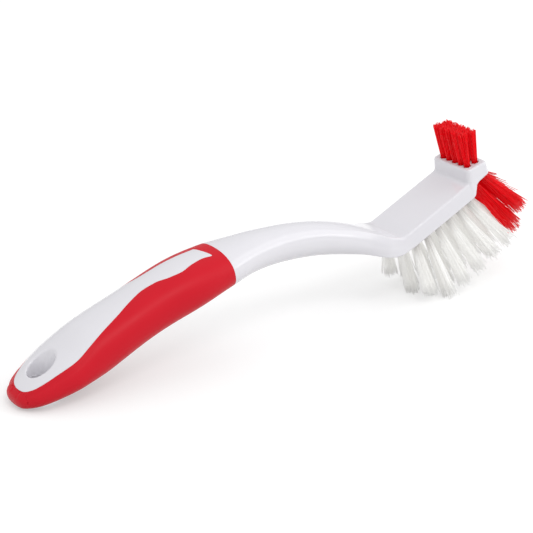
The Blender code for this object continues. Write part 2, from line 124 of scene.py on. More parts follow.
BEND_EASE = 0.004
SHAPE_CHANGE_START = 0.165
SHAPE_CHANGE_END = 0.211
HEAD_FROM_BUTT = 0.204
HEAD_HEIGHT = 0.0282
HEAD_SLOPE = 25.3
HEAD_START = 0.0033
HEAD_LENGTH = 0.048
HEAD_THICKNESS = 0.00725
HEAD_HALF_WIDTH = 0.0152
HEAD_DRAFT = 0.0021
HEAD_TOP_FILLET = 0.0010
HEAD_BOTTOM_FILLET = 0.0007
NOSE_SLOPE = 73.6
NOSE_CORNER = 0.0030
BLOCK_TILT = 15.0
BLOCK_RISE = 0.0066
BLOCK_LENGTH = 0.0122
BLOCK_WIDTH = 0.0262
BLOCK_FRONT_WALL = 0.0064
BLOCK_BACK_DRAFT = 7.2
BLOCK_FRONT_DRAFT = 6.2
BLOCK_SIDE_DRAFT = 3.0
BLOCK_CORNER = 0.0021
BLOCK_EDGE = 0.0009
BLOCK_FOOT_FILLET = 0.0008
OVERHANG_SLOPE = 14.0
HANG_HOLE_FROM_BUTT = 0.0142
HANG_HOLE_WAIST = 0.0104
HANG_HOLE_WAIST_RISE = 0.0010
HANG_HOLE_MOUTH = 0.0127
HANG_HOLE_RIM = 0.0009
HANG_HOLE_LEDGE = 0.0004
HANG_HOLE_WALL = 0.0017
GRIP_LENGTH = 0.1052
GRIP_WALL = 0.0018
INLAY_NEAR_EDGE = (
    (0.0028, -0.0016),
    (0.0032, -0.0042),
    (0.0046, -0.0067),
    (0.0078, -0.0092),
    (0.0138, -0.0114),
    (0.0248, -0.0134),
    (0.0319, -0.0124),
    (0.0398, -0.0105),
    (0.0485, -0.0082),
    (0.0565, -0.0055),
    (0.0640, -0.0039),
    (0.0700, -0.0044),
    (0.0760, -0.0064),
    (0.0820, -0.0073),
    (0.0880, -0.0060),
    (0.0940, -0.0053),
    (0.0990, -0.0062),
)
INLAY_FAR_EDGE = (
    (0.0028, 0.0006),
    (0.0034, 0.0032),
    (0.0048, 0.0061),
    (0.0075, 0.0087),
    (0.0113, 0.0107),
    (0.0150, 0.0127),
    (0.0190, 0.0139),
    (0.0226, 0.0142),
    (0.0263, 0.0140),
    (0.0300, 0.0136),
    (0.0400, 0.0127),
    (0.0500, 0.0121),
    (0.0582, 0.0116),
    (0.0625, 0.0100),
    (0.0665, 0.0079),
    (0.0720, 0.0070),
    (0.0820, 0.0067),
    (0.0900, 0.0062),
    (0.0964, 0.0056),
)
BODY_CELL = 0.00055
BODY_LENGTH = 0.264
BODY_LOW = (-0.0015, -0.0185, 0.0)
BODY_HIGH = (BODY_LENGTH, 0.0185, 0.066)
TABLE_MARGIN = 0.02
TABLE_STEP = 0.00002
BLOCK_OF_SAMPLES = 8
BLOCK_MARGIN = 1.3
PLACE_STEPS = 9
LEAST_OVAL_SHARE = 1e-3
SLOPE_STEP = 0.00004
SURFACE_STEPS = 3
LEAST_SLOPE_SQUARED = 0.04
LEAST_SPREAD = 0.05
LEAST_MOVE = 1e-12
EVENING_ROUNDS = 2
CREASE_REACH = 0.8
MOST_CREASE_MOVE = 1.5
SEAM_LEAN = 50.0
BUTT_LEAN = 0.8
BUTT_LEAN_END = 0.010
WHITE = (0.80, 0.79, 0.83)
WHITE_DEEP = (0.77, 0.76, 0.80)
WHITE_DEPTH_WEIGHT = 0.1
WHITE_DEPTH = 0.0015

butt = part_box("grip")[0].x + BUTT_DEPTH * math.sin(math.radians(HANDLE_LINE[0][2]))


def leaning(degrees):
    """Unit vector in the XZ plane at this angle above X."""
    return np.array([math.cos(math.radians(degrees)), 0.0, math.sin(math.radians(degrees))])


def head_point(along, above, across=0.0):
    """A point by its place on the head: along its underside, above it, and across."""
    corner = np.array([HEAD_FROM_BUTT, across, HEAD_HEIGHT])
    return corner + along * leaning(HEAD_SLOPE) + above * leaning(HEAD_SLOPE + 90)


def hermite(knots, slopes, x):
    """Height at x of the cubic through knots (x, y) with these slopes, and straight past its ends."""
    xs, ys = np.asarray(knots, float).T
    slopes = np.asarray(slopes, float)
    i = np.clip(np.searchsorted(xs, x) - 1, 0, len(xs) - 2)
    step = xs[i + 1] - xs[i]
    t = np.clip((x - xs[i]) / step, 0.0, 1.0)
    rise = ys[i] * (1 + 2 * t) * (1 - t) ** 2 + ys[i + 1] * t * t * (3 - 2 * t)
    turn = slopes[i] * t * (1 - t) ** 2 + slopes[i + 1] * t * t * (t - 1)
    before = slopes[0] * np.minimum(x - xs[0], 0.0)
    after = slopes[-1] * np.maximum(x - xs[-1], 0.0)
    return rise + step * turn + before + after


def even(knots, x):
    """Height at x of a curve that never overshoots its knots: each slope is a harmonic mean."""
    xs, ys = np.asarray(knots, float).T
    rise = np.diff(ys) / np.diff(xs)
    before, after = rise[:-1], rise[1:]
    same_way = before * after > 0
    middle = np.where(same_way, 2 * before * after / np.where(same_way, before + after, 1.0), 0.0)
    return hermite(knots, [rise[0], *middle, 0.0], np.clip(x, xs[0], xs[-1]))


def smooth_step(x, start, end):
    """0 before start, 1 after end, and 3t^2 - 2t^3 between."""
    t = np.clip((x - start) / (end - start), 0.0, 1.0)
    return t * t * (3 - 2 * t)


def both(a, b, radius):
    """What lies in shape a and in shape b, with the edge between them rounded."""
    outside = np.hypot(np.maximum(a + radius, 0.0), np.maximum(b + radius, 0.0))
    return np.minimum(-radius, np.maximum(a, b)) + outside


def either(a, b, radius):
    """What lies in shape a or in shape b, with a fillet in the corner between them."""
    return -both(-a, -b, radius)


head_start = head_point(HEAD_START, HEAD_THICKNESS / 2)
line_knots = [(x, height) for x, height, _ in HANDLE_LINE] + [(head_start[0], head_start[2])]
line_slopes = [math.tan(math.radians(slope)) for _, _, slope in HANDLE_LINE]
line_slopes.append(math.tan(math.radians(HEAD_SLOPE)))
stations = np.arange(-TABLE_MARGIN, BODY_LENGTH + TABLE_MARGIN, TABLE_STEP)
line_heights = hermite(line_knots, line_slopes, stations)
ease = round(BEND_EASE / TABLE_STEP)
line_heights[ease:-ease] = np.convolve(
    line_heights, np.full(2 * ease + 1, 1 / (2 * ease + 1)), mode="valid"
)
line_rises = np.arctan(np.gradient(line_heights, stations))
half_widths = even(HANDLE_WIDTHS + ((head_start[0], HEAD_HALF_WIDTH),), stations)
half_depths = even(HANDLE_DEPTHS + ((head_start[0], HEAD_THICKNESS / 2),), stations)
width_growth = np.gradient(half_widths, stations)
depth_growth = np.gradient(half_depths, stations)


def place_on_line(x, z):
    """How far along the middle line the section through (x, z) stands, and the height above it."""
    along = x
    for _ in range(PLACE_STEPS):
        rise = np.interp(along, stations, line_rises)
        height = np.interp(along, stations, line_heights)
        off = (x - along) * np.cos(rise) + (z - height) * np.sin(rise)
        along = np.clip(along + off * np.cos(rise), stations[0], stations[-1])
    above = (z - height) * np.cos(rise) - (x - along) * np.sin(rise)
    return along, above


def oval(across, above, along):
    """Distance out of the handle's section |u|^n + |v|^n = 1, from its value over its slope."""
    width = np.interp(along, stations, half_widths)
    depth = np.interp(along, stations, half_depths)
    u = np.maximum(np.abs(across) / width, LEAST_OVAL_SHARE)
    v = np.maximum(np.abs(above) / depth, LEAST_OVAL_SHARE)
    n = HANDLE_SQUARENESS
    size = (u**n + v**n) ** (1 / n)
    side, top = (u / size) ** (n - 1) / width, (v / size) ** (n - 1) / depth
    steepness = np.hypot(side, top)
    wider = u * width * side * np.interp(along, stations, width_growth) / width
    deeper = v * depth * top * np.interp(along, stations, depth_growth) / depth
    return (size - 1) / np.hypot(steepness, wider + deeper)


def plate(across, above, x, z, along):
    """Distance out of the head's plate: drafted sides, a sloping nose, and rounded edges."""
    width = np.interp(along, stations, half_widths)
    depth = np.interp(along, stations, half_depths)
    draft = HEAD_DRAFT / (2 * depth)
    side = (np.abs(across) - width + draft * (above + depth)) / np.hypot(1.0, draft)
    nose_foot, forwards = head_point(HEAD_LENGTH, 0.0), leaning(NOSE_SLOPE - 90)
    nose = (x - nose_foot[0]) * forwards[0] + (z - nose_foot[2]) * forwards[2]
    upright = both(side, nose, NOSE_CORNER)
    return both(both(upright, above - depth, HEAD_TOP_FILLET), -above - depth, HEAD_BOTTOM_FILLET)


block_edge = head_point(HEAD_LENGTH, HEAD_THICKNESS + BLOCK_RISE)
block_reach = BLOCK_LENGTH + BLOCK_FRONT_WALL * math.tan(math.radians(BLOCK_FRONT_DRAFT))


def block_point(along, above, across=0.0):
    """A point by its place on the block's top face, from its back edge."""
    edge = block_edge + (0.0, across, 0.0)
    return edge + along * leaning(BLOCK_TILT) + above * leaning(BLOCK_TILT + 90)


def wall(outward, above, degrees):
    """Distance out of a wall that stands at outward = 0 at the block's top and leans out below."""
    lean = math.radians(degrees)
    return outward * math.cos(lean) + above * math.sin(lean)


def block(x, y, z):
    """Distance out of the block: four drafted walls, a flat top and a sloping underside."""
    right, up = leaning(BLOCK_TILT), leaning(BLOCK_TILT + 90)
    along = (x - block_edge[0]) * right[0] + (z - block_edge[2]) * right[2]
    above = (x - block_edge[0]) * up[0] + (z - block_edge[2]) * up[2]
    back = wall(-along, above, BLOCK_BACK_DRAFT)
    front = wall(along - BLOCK_LENGTH, above, BLOCK_FRONT_DRAFT)
    sides = wall(np.abs(y) - BLOCK_WIDTH / 2, above, BLOCK_SIDE_DRAFT)
    slope = math.radians(OVERHANG_SLOPE)
    under = (along - block_reach) * math.sin(slope) - (above + BLOCK_FRONT_WALL) * math.cos(slope)
    walls = both(both(back, sides, BLOCK_CORNER), front, BLOCK_CORNER)
    return both(both(walls, above, BLOCK_EDGE), under, BLOCK_EDGE / 2)


def outer_shape(x, y, z):
    """Distance out of handle, neck and plate, and the place along and above the middle line."""
    along, above = place_on_line(x, z)
    flatness = smooth_step(along, SHAPE_CHANGE_START, SHAPE_CHANGE_END)
    skin = (1 - flatness) * oval(y, above, along) + flatness * plate(y, above, x, z, along)
    return both(skin, BUTT_CUT - along, BUTT_ROUND), along, above


near_edge = even(INLAY_NEAR_EDGE, stations)
far_edge = even(INLAY_FAR_EDGE, stations)
near_run = np.hypot(1.0, np.gradient(near_edge, stations))
far_run = np.hypot(1.0, np.gradient(far_edge, stations))


def inlay_outline(x, y):
    """Distance out of the inlay's outline, seen from above: its two edges and its two ends."""
    near = (np.interp(x, stations, near_edge) - y) / np.interp(x, stations, near_run)
    far = (y - np.interp(x, stations, far_edge)) / np.interp(x, stations, far_run)
    (x1, y1), (x2, y2) = INLAY_NEAR_EDGE[-1], INLAY_FAR_EDGE[-1]
    front = ((x - x1) * (y2 - y1) - (y - y1) * (x2 - x1)) / math.hypot(x2 - x1, y2 - y1)
    return np.maximum(np.maximum(near, far), np.maximum(front, INLAY_NEAR_EDGE[0][0] - x))


def hang_hole(x, y, z):
    """Distance out of the hang hole, which narrows to a ledge near halfway down, and out of its wall."""
    middle = np.interp(HANG_HOLE_FROM_BUTT, stations, line_heights) + HANG_HOLE_WAIST_RISE
    depth = np.interp(HANG_HOLE_FROM_BUTT, stations, half_depths)
    from_axis = np.hypot(x - HANG_HOLE_FROM_BUTT, y)
    widening = (HANG_HOLE_MOUTH - HANG_HOLE_WAIST) / 2 * np.abs(z - middle) / depth
    half = HANG_HOLE_LEDGE / 2
    widening -= HANG_HOLE_LEDGE * (1 - smooth_step(z - middle, -half, half))
    return from_axis - HANG_HOLE_WAIST / 2 - widening, from_axis - HANG_HOLE_MOUTH / 2 - HANG_HOLE_WALL


Tuft = namedtuple("Tuft", "name root direction length flare depth")
TUFT_HOLE = 0.0034
TUFT_HOLE_RIM = 0.00015
WHITE_HOLE_DEPTH = 0.0024
WHITE_ROWS = 5
WHITE_ROW_TUFTS = 6
WHITE_FIRST = 0.0074
WHITE_LAST_TO_NOSE = 0.00265
WHITE_TO_SIDE = 0.0030
WHITE_LENGTH = 0.0364
WHITE_CORNER_LENGTH = 0.0285
WHITE_FLARE = 0.0034
WHITE_FIRST_LEAN = 17.0
WHITE_LAST_LEAN = 48.0
WHITE_SIDE_LEAN = 6.2
NOSE_TUFTS = 4
NOSE_TO_SIDE = 0.0056
NOSE_SIDE_LEAN = 4.0
NOSE_STRAYS = (2.5, 0.5, -3.0, -7.0)
NOSE_FLARE = 0.0040
NOSE_UPPER_HOLE_DEPTH = 0.0028
NOSE_UPPER_LENGTH = 0.0335
NOSE_UPPER_LEAN = 37.0
NOSE_LOWER_HOLE_DEPTH = 0.0042
NOSE_LOWER_RISE = 0.0038
NOSE_LOWER_LENGTH = 0.0372
NOSE_LOWER_LEAN = 43.5
TOP_TUFTS = 5
TOP_TO_SIDE = 0.0045
TOP_FLARE = 0.0021
TOP_HOLE_DEPTH = 0.0028
TOP_BACK_FROM_EDGE = 0.0035
TOP_BACK_LENGTH = 0.0180
TOP_BACK_LEAN = 0.0
TOP_FRONT_FROM_EDGE = 0.0083
TOP_FRONT_LENGTH = 0.0168
TOP_FRONT_LEAN = 3.0


def unit(vector):
    return vector / np.linalg.norm(vector)


def spread_evenly(count, half_width):
    """Places across the brush, from its near side to its far side, and each one's share of the way out."""
    shares = np.linspace(-1.0, 1.0, count)
    return zip(half_width * shares, shares)


def white_tufts():
    """Rows along the head's underside, every second row set half a pitch forward."""
    rows = spread_evenly(WHITE_ROWS, HEAD_HALF_WIDTH - WHITE_TO_SIDE)
    for row, (across, side) in enumerate(rows):
        for i in range(WHITE_ROW_TUFTS):
            share = (i + 0.5 * (row % 2)) / (WHITE_ROW_TUFTS - 0.5)
            along = WHITE_FIRST + (HEAD_LENGTH - WHITE_LAST_TO_NOSE - WHITE_FIRST) * share
            lean = WHITE_FIRST_LEAN + (WHITE_LAST_LEAN - WHITE_FIRST_LEAN) * share
            sideways = side * math.sin(math.radians(WHITE_SIDE_LEAN))
            at_corner = i == 0 and abs(side) == 1
            yield Tuft(
                name=f"white_tuft_row{row + 1}_{i + 1}",
                root=head_point(along, 0.0, across),
                direction=unit(leaning(lean - 90) + (0.0, sideways, 0.0)),
                length=WHITE_CORNER_LENGTH if at_corner else WHITE_LENGTH,
                flare=WHITE_FLARE,
                depth=WHITE_HOLE_DEPTH,
            )


def middle_of_overhang():
    """Halfway from the overhang's outer edge to where the nose face meets its underside."""
    outer = block_point(block_reach, -BLOCK_FRONT_WALL)
    inward, nose = leaning(BLOCK_TILT + 180 + OVERHANG_SLOPE), leaning(NOSE_SLOPE)
    gap = head_point(HEAD_LENGTH, 0.0) - outer
    meeting = (gap[0] * nose[2] - gap[2] * nose[0]) / (inward[0] * nose[2] - inward[2] * nose[0])
    return outer + meeting / 2 * inward


def nose_tufts():
    """An upper row in the block's overhang and a lower one in the nose face."""
    lower_root = head_point(HEAD_LENGTH, 0.0) + NOSE_LOWER_RISE * leaning(NOSE_SLOPE)
    rows = (
        ("upper", middle_of_overhang(), NOSE_UPPER_LEAN, NOSE_UPPER_LENGTH, NOSE_UPPER_HOLE_DEPTH),
        ("lower", lower_root, NOSE_LOWER_LEAN, NOSE_LOWER_LENGTH, NOSE_LOWER_HOLE_DEPTH),
    )
    for row, root, lean, length, depth in rows:
        for i, (across, side) in enumerate(spread_evenly(NOSE_TUFTS, HEAD_HALF_WIDTH - NOSE_TO_SIDE)):
            sideways = side * math.sin(math.radians(NOSE_SIDE_LEAN))
            yield Tuft(
                name=f"nose_tuft_{row}_{i + 1}",
                root=root + (0.0, across, 0.0),
                direction=unit(leaning(-lean - NOSE_STRAYS[i]) + (0.0, sideways, 0.0)),
                length=length,
                flare=NOSE_FLARE,
                depth=depth,
            )


def top_tufts():
    """Two upright rows across the block's top."""
    rows = (
        ("back", TOP_BACK_FROM_EDGE, TOP_BACK_LENGTH, TOP_BACK_LEAN),
        ("front", TOP_FRONT_FROM_EDGE, TOP_FRONT_LENGTH, TOP_FRONT_LEAN),
    )
    for row, along, length, lean in rows:
        for i, (across, _) in enumerate(spread_evenly(TOP_TUFTS, BLOCK_WIDTH / 2 - TOP_TO_SIDE)):
            yield Tuft(
                name=f"top_tuft_{row}_{i + 1}",
                root=block_point(along, 0.0, across),
                direction=leaning(BLOCK_TILT + 90 - lean),
                length=length,
                flare=TOP_FLARE,
                depth=TOP_HOLE_DEPTH,
            )


tufts = [*white_tufts(), *nose_tufts(), *top_tufts()]


def with_tuft_holes(shape, x, y, z):
    """The shape less a round blind hole for each tuft, worked out only near that hole."""
    shape = np.array(shape)
    for tuft in tufts:
        reach = tuft.depth + TUFT_HOLE
        near = (np.abs(x - tuft.root[0]) < reach) & (np.abs(y - tuft.root[1]) < reach)
        near = np.flatnonzero(near & (np.abs(z - tuft.root[2]) < reach))
        place = np.stack([x[near], y[near], z[near]], axis=1) - tuft.root
        out = place @ tuft.direction
        from_axis = np.linalg.norm(place - out[:, None] * tuft.direction, axis=1)
        hole = np.maximum(from_axis - TUFT_HOLE / 2, -out - tuft.depth)
        shape[near] = both(shape[near], -hole, TUFT_HOLE_RIM)
    return shape


def white_edge(x, y, z, along, skin, above):
    """Distance past the edge of what the white moulding leaves proud of the grip's seat.

    The seam's walls lean in as they go down, so that they stand about square to the skin."""
    down = np.clip(-skin, -GRIP_WALL / 4, GRIP_WALL)
    butt_lean = BUTT_LEAN * np.clip(1 - x / BUTT_LEAN_END, 0.0, 1.0)
    inlay = np.maximum(inlay_outline(x - butt_lean * down, y * (1 + SEAM_LEAN * down)), -above)
    return np.minimum(np.minimum(inlay, hang_hole(x, y, z)[1]), GRIP_LENGTH - along)


def white_crease(x, y, z):
    """The two values that are 0 along the white side of the seam: skin and edge."""
    skin, along, above = outer_shape(x, y, z)
    return skin, white_edge(x, y, z, along, skin, above)


def with_holes(shape, x, y, z):
    """The shape less the hang hole and the tufts' holes."""
    hole = hang_hole(x, y, z)[0]
    return with_tuft_holes(both(shape, -hole, HANG_HOLE_RIM), x, y, z)


def white_outside(x, y, z):
    """Distance out of the white moulding if it had no seat for the grip."""
    skin = outer_shape(x, y, z)[0]
    return with_holes(either(skin, block(x, y, z), BLOCK_FOOT_FILLET), x, y, z)


def white_body(x, y, z):
    """Distance out of the white moulding."""
    skin, along, above = outer_shape(x, y, z)
    seat = np.minimum(skin + GRIP_WALL, white_edge(x, y, z, along, skin, above))
    shape = np.maximum(either(skin, block(x, y, z), BLOCK_FOOT_FILLET), seat)
    return with_holes(shape, x, y, z)


def sampled(shape, axes, cell):
    """The shape's values on a grid, worked out one by one only in blocks near its surface."""
    size = BLOCK_OF_SAMPLES
    middles = [axis.reshape(-1, size).mean(axis=1) for axis in axes]
    x, y, z = (part.ravel() for part in np.meshgrid(*middles, indexing="ij"))
    rough = shape(x, y, z).reshape([len(middle) for middle in middles])
    values = rough
    for axis in range(3):
        values = np.repeat(values, size, axis=axis)
    near = np.nonzero(np.abs(values) < BLOCK_MARGIN * size * cell)
    values[near] = shape(*(axis[index] for axis, index in zip(axes, near)))
    return values


def slope_of(shape, points):
    """The shape's value at each point, and how it rises along X, Y and Z there."""
    step = SLOPE_STEP
    rises = []
    for move in step * np.eye(3):
        ahead, behind = shape(*(points + move).T), shape(*(points - move).T)
        rises.append((ahead - behind) / (2 * step))
    return shape(*points.T), np.stack(rises, axis=1)


def onto_surface(shape, points, most):
    """The points moved straight up or down the slope to where the shape's value is 0."""
    for _ in range(SURFACE_STEPS):
        value, slope = slope_of(shape, points)
        steepness = np.maximum((slope**2).sum(axis=1), LEAST_SLOPE_SQUARED)
        move = -value[:, None] * slope / steepness[:, None]
        far = np.linalg.norm(move, axis=1, keepdims=True)
        points = points + move * np.minimum(1.0, most / np.maximum(far, LEAST_MOVE))
    return points


def onto_crease(crease, points, reach):
    """The points with those near the line where both of the crease's values are 0 moved onto it.

    The move m is the shortest with J m = -(a, b), where a and b are the values and J their slopes.
    A point that doesn't settle on the line, or that would move far, stays where it was."""
    near = np.flatnonzero(np.abs(crease(*points.T)).max(axis=0) < reach)
    moved = points[near]
    for _ in range(SURFACE_STEPS):
        a, rise_a = slope_of(lambda x, y, z: crease(x, y, z)[0], moved)
        b, rise_b = slope_of(lambda x, y, z: crease(x, y, z)[1], moved)
        aa = (rise_a**2).sum(axis=1)
        bb = (rise_b**2).sum(axis=1)
        ab = (rise_a * rise_b).sum(axis=1)
        spread = np.maximum(aa * bb - ab**2, LEAST_SPREAD)
        move = -((bb * a - ab * b) / spread)[:, None] * rise_a
        move -= ((aa * b - ab * a) / spread)[:, None] * rise_b
        far = np.linalg.norm(move, axis=1, keepdims=True)
        moved = moved + move * np.minimum(1.0, reach / np.maximum(far, LEAST_MOVE))
    settled = np.abs(crease(*moved.T)).max(axis=0) < SLOPE_STEP / 4
    settled &= np.linalg.norm(moved - points[near], axis=1) < reach * MOST_CREASE_MOVE
    points = points.copy()
    points[near[settled]] = moved[settled]
    return points


def surface_grid(shape, low, high, cell):
    """Points and quads of the surface where the shape's value is 0.

    Each cell of a cubic grid that the surface crosses holds one point, and each edge of the grid
    that it crosses has a quad of the four cells round it. The points are then moved onto the
    surface, evened out among their neighbours and moved onto it again."""
    size = BLOCK_OF_SAMPLES
    counts = np.ceil((np.subtract(high, low) / cell + 1) / size).astype(int) * size
    axes = [start + cell * np.arange(count) for start, count in zip(low, counts)]
    inside = sampled(shape, axes, cell) < 0
    corners = sum(
        inside[i : counts[0] - 1 + i, j : counts[1] - 1 + j, k : counts[2] - 1 + k].astype(np.int8)
        for i in (0, 1)
        for j in (0, 1)
        for k in (0, 1)
    )
    crossed = (corners > 0) & (corners < 8)
    number = np.full(crossed.shape, -1)
    number[crossed] = np.arange(crossed.sum())
    cells = np.argwhere(crossed)
    points = np.asarray(low) + cell * (cells + 0.5)
    quads = []
    for axis in range(3):
        first, second = (axis + 1) % 3, (axis + 2) % 3
        change = np.diff(inside.astype(np.int8), axis=axis)
        for way in (1, -1):
            at = np.argwhere(change == way)
            one, two = np.eye(3, dtype=int)[[first, second]]
            order = (at - one - two, at - two, at, at - one)
            turned = order if way == -1 else order[::-1]
            quads.append(np.stack([number[tuple(place.T)] for place in turned], axis=1))
    quads = np.concatenate(quads)
    ends = np.concatenate([quads[:, [0, 1]], quads[:, [1, 2]], quads[:, [2, 3]], quads[:, [3, 0]]])
    neighbours = np.bincount(ends.ravel(), minlength=len(points))
    points = onto_surface(shape, points, cell)
    for _ in range(EVENING_ROUNDS):
        middles = np.stack(
            [
                np.bincount(ends[:, 0], points[ends[:, 1], i], len(points))
                + np.bincount(ends[:, 1], points[ends[:, 0], i], len(points))
                for i in range(3)
            ],
            axis=1,
        )
        points = (points + middles / neighbours[:, None]) / 2
        points = onto_surface(shape, points, cell / 2)
    return points, quads


def mesh_piece(name, points, quads, normals=None):
    """A smooth-shaded mesh object of these quads, moved from the butt to the brush's place."""
    mesh = bpy.data.meshes.new(name)
    mesh.vertices.add(len(points))
    mesh.vertices.foreach_set("co", (points + (butt, 0.0, 0.0)).astype(np.float32).ravel())
    mesh.loops.add(quads.size)
    mesh.loops.foreach_set("vertex_index", quads.astype(np.int32).ravel())
    mesh.polygons.add(len(quads))
    mesh.polygons.foreach_set("loop_start", np.arange(0, quads.size, 4, dtype=np.int32))
    mesh.update(calc_edges=True)
    mesh.shade_smooth()
    if normals is not None:
        mesh.normals_split_custom_set_from_vertices(normals.tolist())
    made = bpy.data.objects.new(name, mesh)
    bpy.context.scene.collection.objects.link(made)
    return made


def moulded(name, shape, outside, crease, low, high, cell):
    """A mesh object for the surface of the shape, with points along its crease.

    It is shaded by the slope of its outside where it lies on that, and by its own elsewhere."""
    points, quads = surface_grid(shape, low, high, cell)
    points = onto_crease(crease, points, CREASE_REACH * cell)
    value, slope = slope_of(outside, points)
    on_outside = np.abs(value) < SLOPE_STEP
    slope = np.where(on_outside[:, None], slope, slope_of(shape, points)[1])
    slope /= np.linalg.norm(slope, axis=1, keepdims=True)
    return mesh_piece(name, points, quads, slope)


def node_group(name, inputs, outputs):
    """An empty shader group with these sockets, each a name, a kind and, going in, a value."""
    group = bpy.data.node_groups.new(name, "ShaderNodeTree")
    for label, kind, value in inputs:
        socket = group.interface.new_socket(label, in_out="INPUT", socket_type=f"NodeSocket{kind}")
        if value is not None:
            socket.default_value = value
    for label, kind in outputs:
        group.interface.new_socket(label, in_out="OUTPUT", socket_type=f"NodeSocket{kind}")
    return group, group.nodes.new("NodeGroupInput"), group.nodes.new("NodeGroupOutput")


def moulded_skin_group():
    """Slow mottling and a fine grain on plastic: two noises, by size in grains a metre."""
    group, given, made = node_group(
        "moulded skin",
        (
            ("Place", "Vector", None),
            ("Mottle Scale", "Float", 40.0),
            ("Grain Scale", "Float", 2000.0),
            ("Colour", "Color", None),
            ("Deep Colour", "Color", None),
            ("Least Roughness", "Float", 0.2),
            ("Most Roughness", "Float", 0.3),
        ),
        (("Colour", "Color"), ("Roughness", "Float"), ("Grain", "Float")),
    )
    links = group.links
    mottle = group.nodes.new("ShaderNodeTexNoise")
    mottle.inputs["Detail"].default_value = 3.0
    links.new(given.outputs["Place"], mottle.inputs["Vector"])
    links.new(given.outputs["Mottle Scale"], mottle.inputs["Scale"])
    grain = group.nodes.new("ShaderNodeTexNoise")
    grain.inputs["Detail"].default_value = 2.0
    links.new(given.outputs["Place"], grain.inputs["Vector"])
    links.new(given.outputs["Grain Scale"], grain.inputs["Scale"])
    colour = group.nodes.new("ShaderNodeMix")
    colour.data_type = "RGBA"
    links.new(mottle.outputs["Fac"], colour.inputs["Factor"])
    links.new(given.outputs["Deep Colour"], colour.inputs["A"])
    links.new(given.outputs["Colour"], colour.inputs["B"])
    rough = group.nodes.new("ShaderNodeMapRange")
    links.new(mottle.outputs["Fac"], rough.inputs["Value"])
    rough.inputs["From Min"].default_value = 0.3
    rough.inputs["From Max"].default_value = 0.7
    links.new(given.outputs["Least Roughness"], rough.inputs["To Min"])
    links.new(given.outputs["Most Roughness"], rough.inputs["To Max"])
    links.new(colour.outputs["Result"], made.inputs["Colour"])
    links.new(rough.outputs["Result"], made.inputs["Roughness"])
    links.new(grain.outputs["Fac"], made.inputs["Grain"])
    return group


moulded_skin = moulded_skin_group()


def moulded_plastic(name, colour, deep_colour, roughness, grain_scale, grain_depth, specular):
    """A Principled plastic whose colour, roughness and grain come from the moulded skin."""
    made = bpy.data.materials.new(name)
    made.use_nodes = True
    tree = made.node_tree
    shader = tree.nodes["Principled BSDF"]
    place = tree.nodes.new("ShaderNodeTexCoord")
    skin = tree.nodes.new("ShaderNodeGroup")
    skin.node_tree = moulded_skin
    skin.inputs["Colour"].default_value = (*colour, 1.0)
    skin.inputs["Deep Colour"].default_value = (*deep_colour, 1.0)
    skin.inputs["Least Roughness"].default_value = roughness[0]
    skin.inputs["Most Roughness"].default_value = roughness[1]
    skin.inputs["Grain Scale"].default_value = grain_scale
    bump = tree.nodes.new("ShaderNodeBump")
    bump.inputs["Distance"].default_value = grain_depth
    tree.links.new(place.outputs["Object"], skin.inputs["Place"])
    tree.links.new(skin.outputs["Colour"], shader.inputs["Base Color"])
    tree.links.new(skin.outputs["Roughness"], shader.inputs["Roughness"])
    tree.links.new(skin.outputs["Grain"], bump.inputs["Height"])
    tree.links.new(bump.outputs["Normal"], shader.inputs["Normal"])
    shader.inputs["Specular IOR Level"].default_value = specular
    return made


body = moulded(
    "moulded_body",
    white_body,
    white_outside,
    white_crease,
    BODY_LOW,
    BODY_HIGH,
    BODY_CELL,
)
white_moulding = moulded_plastic(
    "white moulding",
    WHITE,
    WHITE_DEEP,
    roughness=(0.14, 0.20),
    grain_scale=1500.0,
    grain_depth=0.000004,
    specular=0.8,
)
shader = white_moulding.node_tree.nodes["Principled BSDF"]
shader.inputs["Subsurface Weight"].default_value = WHITE_DEPTH_WEIGHT
shader.inputs["Subsurface Radius"].default_value = (1.0, 1.0, 1.0)
shader.inputs["Subsurface Scale"].default_value = WHITE_DEPTH
body.data.materials.append(white_moulding)
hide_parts("body")
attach(body, "root")


# The soft grip: red rubbery plastic moulded over the handle's core, flush with the white neck and
# inlay. It has a satin skin with a fine grain. A shallow dip runs beside the inlay near the butt.
GRIP_CELL = 0.0005
GRIP_LOW = (-0.0015, -0.0195, -0.0015)
GRIP_HIGH = (GRIP_LENGTH + 0.004, 0.0195, 0.056)
GRIP_GAP = 0.00003
DIP_DEPTH = 0.00028
DIP_START = 0.0006
DIP_FLOOR_START = 0.0013
DIP_FLOOR_END = 0.0015
DIP_RIDGE = 0.0026
DIP_FADE_START = 0.016
DIP_FADE_END = 0.038
GRIP_RED = (0.67, 0.006, 0.020)
GRIP_DEEP_RED = (0.61, 0.005, 0.017)
BOUNCED_RED = (0.30, 0.03, 0.04)


def grip_faces(x, y, z):
    """Distances out of the grip's outer skin, past its edges, and into the core under it."""
    skin, along, above = outer_shape(x, y, z)
    away = inlay_outline(x, y)
    dip = smooth_step(away, DIP_START, DIP_FLOOR_START)
    dip *= 1 - smooth_step(away, DIP_FLOOR_END, DIP_RIDGE)
    dip *= smooth_step(above, 0.0, DIP_START) * (1 - smooth_step(x, DIP_FADE_START, DIP_FADE_END))
    edge = GRIP_GAP - white_edge(x, y, z, along, skin, above)
    return skin + DIP_DEPTH * dip, edge, GRIP_GAP - GRIP_WALL - skin


def grip_crease(x, y, z):
    """The two values that are 0 along the grip's side of the seam: skin and edge."""
    return grip_faces(x, y, z)[:2]


def grip_outside(x, y, z):
    """Distance out of the grip if it had no edges."""
    return grip_faces(x, y, z)[0]


def red_grip(x, y, z):
    """Distance out of the grip: the handle's shape less its core and all that is white."""
    return np.maximum.reduce(grip_faces(x, y, z))


